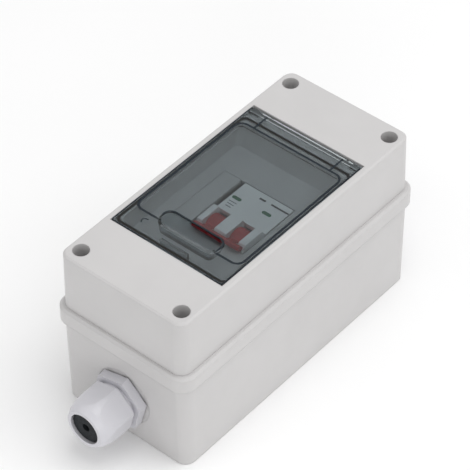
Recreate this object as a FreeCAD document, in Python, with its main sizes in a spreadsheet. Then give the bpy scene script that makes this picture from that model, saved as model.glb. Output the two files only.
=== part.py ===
"""Two-pole solar DC isolator in a wall box: smoked window cover, DIN rail and a gland at each end.

Frame: the box lies on its back, +Z runs from the wall out through the lid, Y is the long axis and
the origin is the centre of the back face. Millimetres and degrees.
"""
import FreeCAD, Part
import Sketcher
import math
import os
import re

Vector = FreeCAD.Vector
Rotation = FreeCAD.Rotation

# Driving sizes: name, value, meaning
SIZES = [
    ("base_height", 74.5, "wall to the parting plane"),
    ("base_corner", 7.0, "base, radius of the upright corners"),
    ("base_draft", 0.7, "base, draft of the outside"),
    ("base_wall", 3.6, "base, side wall at the back"),
    ("base_floor", 3.0, "base, floor"),
    ("rim_width", 99.2, "rim, outside width"),
    ("rim_length", 210.8, "rim, outside length"),
    ("rim_depth", 10.9, "rim, from the parting plane down"),
    ("rim_corner", 10.0, "rim, radius of the upright corners"),
    ("rim_over_x", 3.0, "rim, reach beyond the base, across"),
    ("rim_over_y", 3.8, "rim, reach beyond the base, along"),
    ("rim_step_x", 3.5, "rim, step outside the lid, across"),
    ("rim_step_y", 3.1, "rim, step outside the lid, along"),
    ("rim_bevel", 1.6, "rim, bevel of the upper edge"),
    ("lid_height", 40.2, "lid, parting plane to top"),
    ("lid_corner", 7.0, "lid, radius of the upright corners"),
    ("lid_draft", 0.85, "lid, draft of the outside"),
    ("lid_wall", 3.1, "lid, side wall at the parting plane"),
    ("lid_roof", 3.0, "lid, roof over the two ends"),
    ("lid_edge_bevel", 1.2, "lid, bevel along the top edge"),
    ("post_inset_x", 8.95, "lid screws, distance inside the long sides of the lid"),
    ("post_inset_y", 10.35, "lid screws, distance inside the ends of the lid"),
    ("post_radius", 7.0, "screw posts, half size"),
    ("screw_well_radius", 5.0, "lid screw wells, radius"),
    ("screw_well_floor", 4.5, "lid screw wells, floor under the head"),
    ("lid_screw_radius", 2.0, "lid screws, shank radius"),
    ("lid_screw_grip", 18.0, "lid screws, length in the post"),
    ("lid_screw_head_radius", 3.7, "lid screws, head radius"),
    ("lid_screw_head_height", 2.6, "lid screws, head height"),
    ("thread_gap", 0.02, "radial gap of a screw in its pilot bore"),
    ("pass_gap", 0.2, "radial gap of a screw in a clearance hole"),
    ("gasket_width", 1.5, "lid gasket, width"),
    ("gasket_height", 2.0, "lid gasket, height"),
    ("gasket_corner", 5.0, "lid gasket, size of its cut corners"),
    ("gasket_gap", 0.1, "lid gasket, side gap in its groove"),
    ("cover_length", 125.6, "window cover, length"),
    ("cover_gap", 0.3, "window cover, gap to the lid all round"),
    ("cover_inset", 4.9, "window cover, distance inside the long sides of the lid"),
    ("cover_flange", 2.6, "window cover, thickness of the flange"),
    ("cover_corner", 1.6, "window cover, radius of the two near corners"),
    ("pane_side", 2.2, "pane, distance inside the long sides of the cover"),
    ("pane_near_inset", 16.8, "pane, distance from the near edge of the cover"),
    ("pane_far_inset", 15.0, "pane, distance from the far edge of the cover"),
    ("groove_width", 0.8, "groove round the pane, width"),
    ("groove_depth", 0.9, "groove round the pane, depth"),
    ("scoop_width", 41.6, "finger scoop, width at the mouth"),
    ("scoop_inset", 16.4, "finger scoop, distance from the near edge of the cover"),
    ("scoop_length", 10.8, "finger scoop, length of the mouth"),
    ("scoop_corner", 4.6, "finger scoop, corner radius at the mouth"),
    ("scoop_depth", 6.4, "finger scoop, depth below the lid top"),
    ("scoop_end_slope", 3.2, "finger scoop, run of its sloping ends"),
    ("scoop_near_slope", 0.2, "finger scoop, run of its near wall"),
    ("scoop_far_slope", 2.8, "finger scoop, run of its far wall"),
    ("scoop_floor_corner", 1.2, "finger scoop, corner radius of the floor"),
    ("scoop_wall", 1.8, "finger scoop, wall"),
    ("pane_thickness", 1.8, "pane, thickness"),
    ("pane_corner", 6.0, "pane, corner radius"),
    ("pane_skirt", 2.0, "pane, width of the step around it"),
    ("slit_spacing", 56.6, "flex grooves beside the hinge, spacing"),
    ("slit_width", 0.8, "flex grooves, width"),
    ("slit_depth", 1.3, "flex grooves, depth"),
    ("slit_length", 12.0, "flex grooves, length"),
    ("hinge_pin_radius", 1.5, "cover trunnions, radius"),
    ("hinge_pin_length", 2.2, "cover trunnions, length"),
    ("hinge_radius", 2.6, "cover hinge roll, radius"),
    ("hinge_clearance", 0.05, "radial running gap of the trunnions"),
    ("hinge_room", 0.35, "gap between the hinge roll and its trough"),
    ("hinge_boss", 7.0, "cover hinge bosses, length"),
    ("catch_width", 20.0, "cover catch, width"),
    ("catch_thickness", 1.8, "cover catch, thickness"),
    ("catch_drop", 5.8, "cover catch, length below the flange"),
    ("catch_nose", 0.5, "cover catch, height of its nose"),
    ("catch_inset", 6.4, "cover catch, outer face from the near edge of the cover"),
    ("seal_width", 1.8, "window seal, width"),
    ("seal_height", 0.6, "window seal, height"),
    ("seal_side", 0.3, "window seal, distance inside the long sides of the cover"),
    ("seal_near_inset", 2.2, "window seal, distance from the near edge of the cover"),
    ("seal_far_inset", 9.2, "window seal, distance from the far edge of the cover"),
    ("seal_corner", 2.6, "window seal, size of its cut corners"),
    ("well_depth", 13.0, "lid top down to the well floor"),
    ("well_side", 2.8, "well, distance inside the long sides of the cover"),
    ("well_near_inset", 4.4, "well, distance from the near edge of the cover"),
    ("well_far_inset", 12.8, "well, distance from the far edge of the cover"),
    ("well_side_slope", 2.8, "well, run of its sloping sides"),
    ("well_near_slope", 1.4, "well, run of its near slope"),
    ("well_far_slope", 9.3, "well, run of its far slope"),
    ("well_corner", 4.0, "well, corner radius"),
    ("well_plate", 2.5, "well, thickness of the floor"),
    ("tub_side", 1.2, "outside of the well, distance beyond its sides"),
    ("tub_near_wall", 2.6, "outside of the well, distance beyond its near edge"),
    ("tub_far_wall", 2.5, "outside of the well, distance beyond its far edge"),
    ("tub_shelf", 7.9, "lid top down to the underside beside the well"),
    ("cutout_left_room", 16.2, "switch cut-out, room left of the switch"),
    ("cutout_right_gap", 0.8, "switch cut-out, gap right of the switch"),
    ("cutout_gap", 0.5, "switch cut-out, gap to the switch front"),
    ("fixing_inset", 15.0, "wall-fixing holes, distance inside the long walls"),
    ("fixing_post_gap", 16.95, "wall-fixing holes, distance inside the lid screws"),
    ("fixing_radius", 2.6, "wall-fixing holes, radius"),
    ("rail_width", 35.0, "DIN rail, width"),
    ("rail_depth", 7.5, "DIN rail, depth"),
    ("rail_sheet", 1.0, "DIN rail, sheet thickness"),
    ("rail_lip", 4.0, "DIN rail, lip width"),
    ("rail_end_gap", 1.0, "DIN rail, gap at its ends"),
    ("rail_screw_inset", 7.0, "rail screws, distance from the rail ends"),
    ("rail_screw_radius", 2.0, "rail screws, shank radius"),
    ("rail_screw_length", 14.0, "rail screws, length under the head"),
    ("rail_screw_head_radius", 3.8, "rail screws, head radius"),
    ("rail_screw_head_height", 2.4, "rail screws, head height"),
    ("rail_post_radius", 6.0, "rail posts, radius"),
    ("gland_z", 29.2, "gland axis above the wall"),
    ("gland_seat_inset", 0.05, "gland seat face outside the back outline"),
    ("gland_seat_radius", 19.2, "gland seat face, radius"),
    ("gland_thread_radius", 12.3, "gland, radius of the wall thread"),
    ("gland_hole_gap", 0.2, "gland, radial gap in the wall"),
    ("gland_washer", 1.0, "gland washer, thickness"),
    ("gland_washer_radius", 15.4, "gland washer, radius"),
    ("gland_hex", 32.5, "gland body, across flats"),
    ("gland_hex_length", 6.0, "gland body, hexagon length"),
    ("gland_hex_turn", 15.0, "gland body, turn of the hexagon"),
    ("gland_stub_radius", 13.1, "gland body, radius of the cap thread"),
    ("gland_stub_length", 10.5, "gland body, length of the cap thread"),
    ("gland_wall", 3.5, "gland body, wall at the cap thread"),
    ("gland_collar_length", 5.5, "gland body, length of the collar that squeezes the rubber"),
    ("gland_collar_step", 1.6, "gland body, step down to the collar"),
    ("gland_inner_length", 12.0, "gland body, thread length inside the seat"),
    ("gland_nut_hex", 32.0, "gland locknut, across flats"),
    ("gland_nut_length", 5.0, "gland locknut, length"),
    ("gland_cap_start", 2.2, "gap between the hexagon and the cap"),
    ("gland_cap_hex", 29.6, "gland cap, across flats"),
    ("gland_cap_radius", 16.4, "gland cap, radius over the corners"),
    ("gland_cap_length", 24.6, "gland cap, length"),
    ("gland_cap_straight", 10.0, "gland cap, length before the dome"),
    ("gland_mouth_step", 0.6, "gland cap, mouth wider than the bore"),
    ("gland_cap_lip", 12.4, "gland cap, radius of the flat rim at the mouth"),
    ("gland_cap_turn", 15.0, "gland cap, turn of the hexagon"),
    ("gland_seal_bore", 2.6, "gland rubber, cable bore radius"),
    ("gland_seal_length", 17.0, "gland rubber, length"),
    ("gland_seal_recess", 1.6, "gland rubber, depth behind the cap mouth"),
    ("gland_cap_clearance", 0.05, "radial running gap of the cap on its thread"),
    ("switch_left", -10.3, "isolator, left side"),
    ("pole_width", 18.0, "isolator, width of one pole"),
    ("pole_cover", 2.8, "isolator, side cover of a pole"),
    ("case_length", 80.0, "isolator case, length across the rail"),
    ("switch_inset", 58.7, "isolator centre from the near edge of the cover"),
    ("shoulder_length", 17.5, "terminal shoulders, length"),
    ("shoulder_drop", 7.0, "terminal shoulders below the label face"),
    ("guard_length", 19.5, "toggle guard, length on the front"),
    ("case_wall", 1.6, "isolator case, wall"),
    ("case_round", 1.5, "isolator case, round of the outer corners"),
    ("nose_height", 50.0, "rail face to the label face"),
    ("hump_rise", 4.0, "toggle guard above the label face"),
    ("hump_slope", 2.4, "toggle guard, run of its sloping ends"),
    ("foot_depth", 5.0, "case feet below the rail face"),
    ("foot_reach", 8.5, "case feet, length beyond the rail edge"),
    ("hook_reach", 2.0, "fixed hook, reach under the rail lip"),
    ("hook_gap", 0.2, "fixed hook and clip, gap under the rail lip"),
    ("rail_side_gap", 0.5, "case, gap beside the rail edge"),
    ("toggle_sink", 5.3, "toggle axis below the label face"),
    ("toggle_room", 10.1, "toggle axis, distance from the near end of the front"),
    ("toggle_drum", 8.0, "toggle drum, radius"),
    ("toggle_width", 8.6, "toggle drum, width"),
    ("toggle_gap", 0.4, "toggle, gap in its slot"),
    ("toggle_lever", 3.0, "toggle lever, thickness"),
    ("toggle_lever_width", 6.4, "toggle lever, width"),
    ("toggle_lean", 53.0, "toggle lean at OFF"),
    ("toggle_headroom", 0.4, "gap between the toggle and the closed pane"),
    ("toggle_pin_radius", 1.5, "toggle pin, radius"),
    ("running_gap", 0.05, "radial running gap of pins"),
    ("tie_height", 4.0, "tie bar, height"),
    ("tie_inset", 1.0, "tie bar, distance inside the case sides"),
    ("tie_round", 0.8, "tie bar, round of its long edges"),
    ("contact_offset", 3.0, "contact axis, distance towards the near end"),
    ("contact_pin_radius", 1.2, "contact pin, radius"),
    ("contact_hub", 3.0, "moving contact, hub radius"),
    ("contact_room", 21.0, "moving contact, room beyond its tip to the case end"),
    ("contact_overlap", 4.0, "fixed contact, overlap with the moving one"),
    ("contact_thickness", 2.0, "moving contact, arm thickness"),
    ("contact_width", 5.0, "contacts, width"),
    ("contact_open", 18.0, "moving contact, opening angle"),
    ("strap_drop", 6.6, "terminal tongues below the contact axis"),
    ("clamp_drop", 7.4, "terminal clamps, bottom below the tongues"),
    ("clamp_inset", 8.5, "terminal clamps, distance inside the case ends"),
    ("strap_thickness", 1.5, "terminal tongues, thickness"),
    ("clamp_length", 8.0, "terminal clamps, length"),
    ("clamp_width", 10.0, "terminal clamps, width"),
    ("clamp_height", 13.5, "terminal clamps, height"),
    ("clamp_wall", 1.6, "terminal clamps, wall"),
    ("clamp_head", 3.6, "terminal clamps, threaded top"),
    ("mouth_width", 8.0, "cable mouths, width"),
    ("mouth_height", 7.0, "cable mouths, height"),
    ("terminal_screw_radius", 2.4, "terminal screws, shank radius"),
    ("terminal_screw_head", 3.2, "terminal screws, head radius"),
    ("terminal_screw_head_height", 3.0, "terminal screws, head height"),
    ("terminal_hole_radius", 3.6, "screwdriver holes, radius"),
    ("chute_plates", 7, "arc chute, number of plates"),
    ("chute_start", 4.0, "arc chute, distance beyond the contact axis"),
    ("chute_room", 3.5, "arc chute, room to the lower rivet"),
    ("chute_plate", 1.0, "arc chute, plate thickness"),
    ("chute_height", 11.0, "arc chute, plate height"),
    ("chute_cheek", 0.8, "arc chute, side cheek thickness"),
    ("clip_width", 9.0, "rail clip, width"),
    ("clip_thickness", 2.4, "rail clip, thickness"),
    ("clip_tail", 3.0, "rail clip, length beyond the case"),
    ("clip_slot", 4.0, "rail clip, screwdriver slot width"),
    ("clip_gap", 0.1, "rail clip, gap in its guide"),
    ("guide_length", 12.0, "rail clip guide, length"),
    ("guide_wall", 1.5, "rail clip guide, side walls"),
    ("rib_length", 4.0, "strap ribs, length along the strap"),
    ("rib_height", 3.0, "strap ribs, height"),
    ("rib_gap", 10.5, "strap ribs, distance inside the clamps"),
    ("rivet_radius", 1.5, "case rivets, radius"),
    ("rivet_low_inset", 17.0, "lower rivets, distance inside the case ends"),
    ("rivet_clamp_gap", 7.5, "upper rivets, distance inside the clamps"),
    ("rivet_drop", 5.0, "upper rivets below the shoulders"),
    ("rivet_low", 6.5, "lower rivets above the rail face"),
    ("blank_width", 12.4, "blanking strip, width"),
    ("blank_plate", 2.5, "blanking strip, thickness"),
    ("blank_gap", 0.2, "blanking strip, gap in the cut-out"),
    ("blank_lip", 1.4, "blanking strip, lips under the well floor"),
    ("blank_leg", 3.2, "blanking strip, length of its legs"),
]

# Sizes worked out from the driving ones
WORKED_OUT = [
    ("base_width", "rim_width - 2 * rim_over_x", "base, outside width at the wall"),
    ("base_length", "rim_length - 2 * rim_over_y", "base, outside length at the wall"),
    ("lid_width", "rim_width - 2 * rim_step_x", "lid, outside width at the parting plane"),
    ("lid_length", "rim_length - 2 * rim_step_y", "lid, outside length at the parting plane"),
    ("rim_bottom", "base_height - rim_depth", "underside of the rim"),
    ("lid_top", "base_height + lid_height", "top of the lid"),
    ("inner_x", "lid_width / 2 - lid_wall", "inside of the long walls"),
    ("base_inner_y", "base_length / 2 - base_wall", "inside of the base end walls"),
    ("lid_inner_y", "lid_length / 2 - lid_wall", "inside of the lid end walls"),
    ("post_pitch_x", "lid_width - 2 * post_inset_x", "lid screws, spacing across"),
    ("post_pitch_y", "lid_length - 2 * post_inset_y", "lid screws, spacing along"),
    ("post_x", "post_pitch_x / 2", "lid screws from the centre, across"),
    ("post_y", "post_pitch_y / 2", "lid screws from the centre, along"),
    ("fixing_pitch_x", "2 * (inner_x - fixing_inset)", "wall-fixing holes, spacing across"),
    ("fixing_pitch_y", "post_pitch_y - 2 * fixing_post_gap", "wall-fixing holes, spacing along"),
    ("head_seat_z", "base_height + screw_well_floor", "seat of the lid screw heads"),
    ("ledge_z", "lid_top - cover_flange - seal_height", "ledge under the window cover"),
    ("cover_width", "lid_width - 2 * cover_inset", "window cover, width"),
    ("hinge_y", "cover_length / 2 - hinge_radius", "cover hinge axis along the box"),
    ("hinge_z", "lid_top - hinge_radius", "cover hinge axis above the wall"),
    ("pane_width", "cover_width - 2 * pane_side", "pane, width"),
    ("pane_near", "cover_length / 2 - pane_near_inset", "pane, near edge from the centre"),
    ("pane_far", "cover_length / 2 - pane_far_inset", "pane, far edge from the centre"),
    ("pane_under_z", "lid_top - pane_thickness", "underside of the pane"),
    ("scoop_near", "cover_length / 2 - scoop_inset", "finger scoop, near edge of the mouth"),
    ("scoop_far", "scoop_near - scoop_length", "finger scoop, far edge of the mouth"),
    ("scoop_floor_width", "scoop_width - 2 * scoop_end_slope", "finger scoop, width of the floor"),
    ("scoop_floor_near", "scoop_near - scoop_near_slope", "finger scoop, near edge of the floor"),
    ("scoop_floor_far", "scoop_far + scoop_far_slope", "finger scoop, far edge of the floor"),
    ("catch_y", "cover_length / 2 - catch_inset", "cover catch, outer face from the centre"),
    ("seal_outer_width", "cover_width - 2 * seal_side", "window seal, outside width"),
    ("seal_near", "cover_length / 2 - seal_near_inset", "window seal, near edge from the centre"),
    ("seal_far", "cover_length / 2 - seal_far_inset", "window seal, far edge from the centre"),
    ("well_top_width", "cover_width - 2 * well_side", "well, width at the ledge"),
    ("well_top_near", "cover_length / 2 - well_near_inset", "well, near edge at the ledge"),
    ("well_top_far", "cover_length / 2 - well_far_inset", "well, far edge at the ledge"),
    ("well_floor_width", "well_top_width - 2 * well_side_slope", "well, width at the floor"),
    ("well_floor_near", "well_top_near - well_near_slope", "well, near edge at the floor"),
    ("well_floor_far", "well_top_far - well_far_slope", "well, far edge at the floor"),
    ("tub_width", "well_top_width + 2 * tub_side", "outside of the well, width"),
    ("tub_near", "well_top_near + tub_near_wall", "outside of the well, near edge"),
    ("tub_far", "well_top_far + tub_far_wall", "outside of the well, far edge"),
    ("label_z", "lid_top - well_depth", "well floor and label face"),
    ("rail_z", "label_z - nose_height", "face of the DIN rail"),
    ("rail_length", "2 * (inner_x - rail_end_gap)", "DIN rail, length"),
    ("rail_screw_pitch", "rail_length - 2 * rail_screw_inset", "rail screws, spacing"),
    ("seat_y", "base_length / 2 + gland_seat_inset", "gland seat face"),
    ("end_wall", "seat_y - base_inner_y", "end wall at the gland"),
    ("gland_bore_radius", "gland_stub_radius - gland_wall", "gland body, bore radius"),
    ("gland_cap_mouth", "gland_bore_radius + gland_mouth_step", "gland cap, mouth radius"),
    ("switch_y", "switch_inset - cover_length / 2", "isolator, centre along the box"),
    ("pole_tray", "pole_width - pole_cover", "case tray, depth"),
    ("switch_right", "switch_left + 2 * pole_width", "isolator, right side"),
    ("cutout_left", "switch_left - cutout_left_room", "left edge of the switch cut-out"),
    ("cutout_right", "switch_right + cutout_right_gap", "right edge of the switch cut-out"),
    ("nose_length", "case_length - 2 * shoulder_length", "isolator front, length"),
    ("shoulder_height", "nose_height - shoulder_drop", "rail face to the terminal shoulders"),
    ("label_length", "nose_length - guard_length", "isolator label field, length"),
    ("toggle_offset", "nose_length / 2 - toggle_room", "toggle axis, distance towards the near end"),
    ("toggle_y", "switch_y - toggle_offset", "toggle axis along the box"),
    ("toggle_z", "label_z - toggle_sink", "toggle axis above the wall"),
    ("toggle_reach", "pane_under_z - toggle_headroom - toggle_z", "toggle axis to the tie bar's far face"),
    ("contact_y", "switch_y - contact_offset", "contact axis along the box"),
    ("contact_height", "nose_height / 2", "contact axis above the rail face"),
    ("contact_arm", "case_length / 2 - contact_room", "moving contact, arm length"),
    ("contact_z", "rail_z + contact_height", "contact axis above the wall"),
    ("strap_height", "contact_height - strap_drop", "terminal tongues above the rail face"),
    ("clamp_bottom", "strap_height - clamp_drop", "terminal clamps, bottom above the rail face"),
    ("clamp_offset", "case_length / 2 - clamp_inset", "terminal clamps, distance from the centre"),
    ("rib_offset", "clamp_offset - rib_gap", "strap ribs, distance from the centre"),
    ("rivet_spacing_low", "case_length - 2 * rivet_low_inset", "lower rivets, spacing"),
    ("rivet_spacing_high", "2 * (clamp_offset - rivet_clamp_gap)", "upper rivets, spacing"),
    ("rivet_high", "shoulder_height - rivet_drop", "upper rivets above the rail face"),
    ("chute_span", "rivet_spacing_low / 2 - rivet_radius - case_wall - chute_room + contact_offset - chute_start",
     "arc chute, length"),
    ("chute_pitch", "(chute_span - chute_plate) / (chute_plates - 1)", "arc chute, plate pitch"),
    ("pole_middle", "(pole_tray + case_wall) / 2", "middle of a pole's inside"),
    ("nose_near", "switch_y - nose_length / 2", "near end of the isolator front"),
    ("nose_far", "switch_y + nose_length / 2", "far end of the isolator front"),
    ("label_end", "nose_far - label_length", "near end of the label field"),
    ("cutout_near", "nose_near - cutout_gap", "near edge of the switch cut-out"),
    ("cutout_far", "nose_far + cutout_gap", "far edge of the switch cut-out"),
]

DOC = FreeCAD.newDocument("solar_dc_isolator")
SHEET = DOC.addObject("Spreadsheet::Sheet", "Sizes")
ALIASES = {}
NODES = []
SCRATCH = DOC.addObject("Spreadsheet::Sheet", "Scratch")


def fill_sheet():
    """Write the driving sizes as plain numbers, then the worked-out ones as formulas."""
    rows = [(alias, str(value), meaning) for alias, value, meaning in SIZES]
    rows += [(alias, "=" + formula, meaning) for alias, formula, meaning in WORKED_OUT]
    for row, (alias, content, meaning) in enumerate(rows, start=1):
        SHEET.set(f"A{row}", meaning)
        SHEET.set(f"B{row}", content)
        SHEET.setAlias(f"B{row}", alias)
        ALIASES[alias] = f"B{row}"
    DOC.recompute()


def work_out(expression):
    """The value of an expression in the sheet's names, read from a sheet that nothing depends on."""
    SCRATCH.set("A1", "=" + refer(expression))
    SCRATCH.recompute()
    return float(SCRATCH.get("A1"))


def refer(expression):
    """The expression with each size name pointing at its cell."""
    return re.sub(r"[a-z_]+", lambda word: "Sizes." + word[0] if word[0] in ALIASES else word[0], expression)


def bind(item, path, expression):
    item.setExpression(path, refer(expression))


def volume_of(body):
    return 0.0 if body.Shape.isNull() else body.Shape.Volume


def check_change(before, after, name, grows):
    """A feature that adds must add, and one that cuts must cut."""
    if (after - before) * (1 if grows else -1) <= 1e-6:
        raise RuntimeError(f"{name} did not change the solid as it should")


# Sketches

def new_body(label, origin=("0", "0", "0"), turn=None):
    """A body with its own label; turn is (axis, degrees)."""
    body = DOC.addObject("PartDesign::Body", label)
    body.Label = label
    if turn:
        body.Placement = FreeCAD.Placement(Vector(), Rotation(*turn))
    for path, expression in zip("xyz", origin):
        bind(body, f"Placement.Base.{path}", expression)
    NODES.append(body)
    return body


def new_sketch(body, name, plane="XY_Plane", height="0", shift=("0", "0")):
    """A sketch on an origin plane of its body, lifted along the plane's normal and shifted in it."""
    sketch = body.newObject("Sketcher::SketchObject", name)
    support = [item for item in body.Origin.OriginFeatures if item.Role == plane][0]
    sketch.AttachmentSupport = [(support, "")]
    sketch.MapMode = "FlatFace"
    bind(sketch, "AttachmentOffset.Base.x", shift[0])
    bind(sketch, "AttachmentOffset.Base.y", shift[1])
    bind(sketch, "AttachmentOffset.Base.z", height)
    return sketch


def fix_point(sketch, piece, end, x, y):
    """Hold one point of a sketch at (x, y), both expressions."""
    for axis, kind, expression in ((-2, "DistanceX", x), (-1, "DistanceY", y)):
        value = work_out(expression)
        if expression == "0":
            sketch.addConstraint(Sketcher.Constraint("PointOnObject", piece, end, axis))
            continue
        index = sketch.addConstraint(Sketcher.Constraint(kind, -1, 1, piece, end, value))
        name = f"{kind.lower()}_{index}"
        sketch.renameConstraint(index, name)
        bind(sketch, f"Constraints.{name}", expression)


def polygon(sketch, corners):
    """A closed outline of straight lines through corners given as pairs of expressions."""
    points = [Vector(work_out(x), work_out(y), 0) for x, y in corners]
    first = sketch.GeometryCount
    count = len(points)
    for index in range(count):
        sketch.addGeometry(Part.LineSegment(points[index], points[(index + 1) % count]), False)
    for index in range(count):
        sketch.addConstraint(Sketcher.Constraint("Coincident", first + index, 2, first + (index + 1) % count, 1))
    for index, (x, y) in enumerate(corners):
        fix_point(sketch, first + index, 1, x, y)


def circle(sketch, x, y, radius):
    centre = Vector(work_out(x), work_out(y), 0)
    index = sketch.addGeometry(Part.Circle(centre, Vector(0, 0, 1), work_out(radius)), False)
    fix_point(sketch, index, 3, x, y)
    size = sketch.addConstraint(Sketcher.Constraint("Radius", index, work_out(radius)))
    sketch.renameConstraint(size, f"radius_{size}")
    bind(sketch, f"Constraints.radius_{size}", radius)


def rounded_rectangle(sketch, low_x, high_x, low_y, high_y, radius):
    """Four lines and four tangent corner arcs between opposite corners, all expressions."""
    x_low, x_high, y_low, y_high = (work_out(text) for text in (low_x, high_x, low_y, high_y))
    round_size = work_out(radius)
    centres = [(x_low + round_size, y_low + round_size), (x_high - round_size, y_low + round_size),
               (x_high - round_size, y_high - round_size), (x_low + round_size, y_high - round_size)]
    first = sketch.GeometryCount
    for turn, (x, y) in enumerate(centres):
        start = math.pi * (1 + turn / 2)
        ring = Part.Circle(Vector(x, y, 0), Vector(0, 0, 1), round_size)
        sketch.addGeometry(Part.ArcOfCircle(ring, start, start + math.pi / 2), False)
    for turn in range(4):
        start = sketch.getPoint(first + turn, 2)
        end = sketch.getPoint(first + (turn + 1) % 4, 1)
        sketch.addGeometry(Part.LineSegment(start, end), False)
    for turn in range(4):
        line = first + 4 + turn
        sketch.addConstraint(Sketcher.Constraint("Tangent", first + turn, 2, line, 1))
        sketch.addConstraint(Sketcher.Constraint("Tangent", line, 2, first + (turn + 1) % 4, 1))
        sketch.addConstraint(Sketcher.Constraint("Vertical" if turn % 2 else "Horizontal", line))
    for turn in range(1, 4):
        sketch.addConstraint(Sketcher.Constraint("Equal", first, first + turn))
    size = sketch.addConstraint(Sketcher.Constraint("Radius", first, round_size))
    sketch.renameConstraint(size, f"corner_{size}")
    bind(sketch, f"Constraints.corner_{size}", radius)
    for line, kind, expression, value in ((first + 4, "DistanceY", low_y, y_low), (first + 6, "DistanceY", high_y, y_high),
                                          (first + 5, "DistanceX", high_x, x_high), (first + 7, "DistanceX", low_x, x_low)):
        index = sketch.addConstraint(Sketcher.Constraint(kind, -1, 1, line, 1, value))
        sketch.renameConstraint(index, f"side_{index}")
        bind(sketch, f"Constraints.side_{index}", expression)


def rectangle(sketch, low_x, high_x, low_y, high_y):
    polygon(sketch, [(low_x, low_y), (high_x, low_y), (high_x, high_y), (low_x, high_y)])


def cut_corner_rectangle(sketch, low_x, high_x, low_y, high_y, cut_size):
    """A rectangle with its four corners cut off at 45 degrees."""
    polygon(sketch, [(f"{low_x} + {cut_size}", low_y), (f"{high_x} - {cut_size}", low_y),
                     (high_x, f"{low_y} + {cut_size}"), (high_x, f"{high_y} - {cut_size}"),
                     (f"{high_x} - {cut_size}", high_y), (f"{low_x} + {cut_size}", high_y),
                     (low_x, f"{high_y} - {cut_size}"), (low_x, f"{low_y} + {cut_size}")])


def faceted_rectangle(sketch, low_x, high_x, low_y, high_y, radius, facets=4):
    """A rectangle whose corners turn in short straight steps along an arc of the given radius."""
    corners = []
    for turn, (x, y) in enumerate(((low_x, low_y), (high_x, low_y), (high_x, high_y), (low_x, high_y))):
        centre_x = f"{x} {'-' if turn in (1, 2) else '+'} {radius}"
        centre_y = f"{y} {'-' if turn in (2, 3) else '+'} {radius}"
        for step in range(facets + 1):
            angle = 180 + 90 * (turn + step / facets)
            corners.append((f"{centre_x} + {radius} * cos({angle} deg)", f"{centre_y} + {radius} * sin({angle} deg)"))
    polygon(sketch, corners)


def posted_outline(sketch, half_y):
    """The inside of the box: a rectangle that steps round the four screw posts."""
    near_x, near_y = "(post_x - post_radius)", "(post_y - post_radius)"
    steps = [("inner_x", near_y), (near_x, near_y), (near_x, half_y)]
    corners = [(x, y) for x, y in steps]
    corners += [(f"-{x}", y) for x, y in reversed(steps)]
    corners += [(f"-{x}", f"-{y}") for x, y in steps]
    corners += [(x, f"-{y}") for x, y in reversed(steps)]
    polygon(sketch, corners)


# Features

def extrude(kind, body, sketch, name, length, reverse=False, taper=None, both_ways=False):
    """A Pad or a Pocket; a Pocket cuts against the sketch normal unless reversed."""
    before = volume_of(body)
    feature = body.newObject("PartDesign::" + kind, name)
    feature.Profile = sketch
    feature.Reversed = reverse
    bind(feature, "Length", length)
    if taper:
        bind(feature, "TaperAngle", taper)
    if both_ways:
        feature.SideType = "Symmetric"
    DOC.recompute()
    check_change(before, volume_of(body), f"{body.Label} {name}", kind == "Pad")
    return feature


def pad(body, sketch, name, length, **options):
    return extrude("Pad", body, sketch, name, length, **options)


def pocket(body, sketch, name, length, **options):
    return extrude("Pocket", body, sketch, name, length, **options)


def loft(kind, body, name, sections):
    """An additive or subtractive loft between two sketches."""
    before = volume_of(body)
    feature = body.newObject("PartDesign::" + kind, name)
    feature.Profile = sections[0]
    feature.Sections = [(section, [""]) for section in sections[1:]]
    feature.Ruled = True
    DOC.recompute()
    check_change(before, volume_of(body), f"{body.Label} {name}", kind == "AdditiveLoft")
    return feature


def revolve(body, sketch, name, kind="Revolution"):
    """Turn a sketch about its own horizontal axis."""
    before = volume_of(body)
    feature = body.newObject("PartDesign::" + kind, name)
    feature.Profile = sketch
    feature.ReferenceAxis = (sketch, ["H_Axis"])
    feature.Angle = 360
    DOC.recompute()
    check_change(before, volume_of(body), f"{body.Label} {name}", kind == "Revolution")
    return feature


def fillet(body, base, name, radius, wanted):
    """Round the edges of base that wanted(edge) picks."""
    picked = [f"Edge{index}" for index, edge in enumerate(base.Shape.Edges, start=1) if wanted(edge)]
    feature = body.newObject("PartDesign::Fillet", name)
    feature.Base = (base, picked)
    bind(feature, "Radius", radius)
    DOC.recompute()
    return feature


def chamfer(body, base, name, size, wanted):
    """Bevel the edges of base that wanted(edge) picks."""
    picked = [f"Edge{index}" for index, edge in enumerate(base.Shape.Edges, start=1) if wanted(edge)]
    feature = body.newObject("PartDesign::Chamfer", name)
    feature.Base = (base, picked)
    bind(feature, "Size", size)
    DOC.recompute()
    return feature


def level(edge, height):
    """True for an edge that lies at one height."""
    box = edge.BoundBox
    return abs(box.ZMin - height) < 1e-3 and abs(box.ZMax - height) < 1e-3


# Part primitives

def place(item, corner, turn=None):
    if turn:
        item.Placement = FreeCAD.Placement(Vector(), Rotation(*turn))
    for path, expression in zip("xyz", corner):
        bind(item, f"Placement.Base.{path}", expression)
    return item


def block(name, size, corner, turn=None):
    """A box of the given length, width and height with one corner at corner."""
    item = DOC.addObject("Part::Box", name)
    for path, expression in zip(("Length", "Width", "Height"), size):
        bind(item, path, expression)
    return place(item, corner, turn)


def rod(name, radius, length, start, axis="Z"):
    """A cylinder from start along an axis."""
    item = DOC.addObject("Part::Cylinder", name)
    bind(item, "Radius", radius)
    bind(item, "Height", length)
    turns = {"X": (Vector(0, 1, 0), 90), "Y": (Vector(1, 0, 0), -90), "Z": None}
    return place(item, start, turns[axis])


def fuse(name, items):
    item = DOC.addObject("Part::MultiFuse", name)
    item.Shapes = items
    item.Refine = True
    return item


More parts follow.
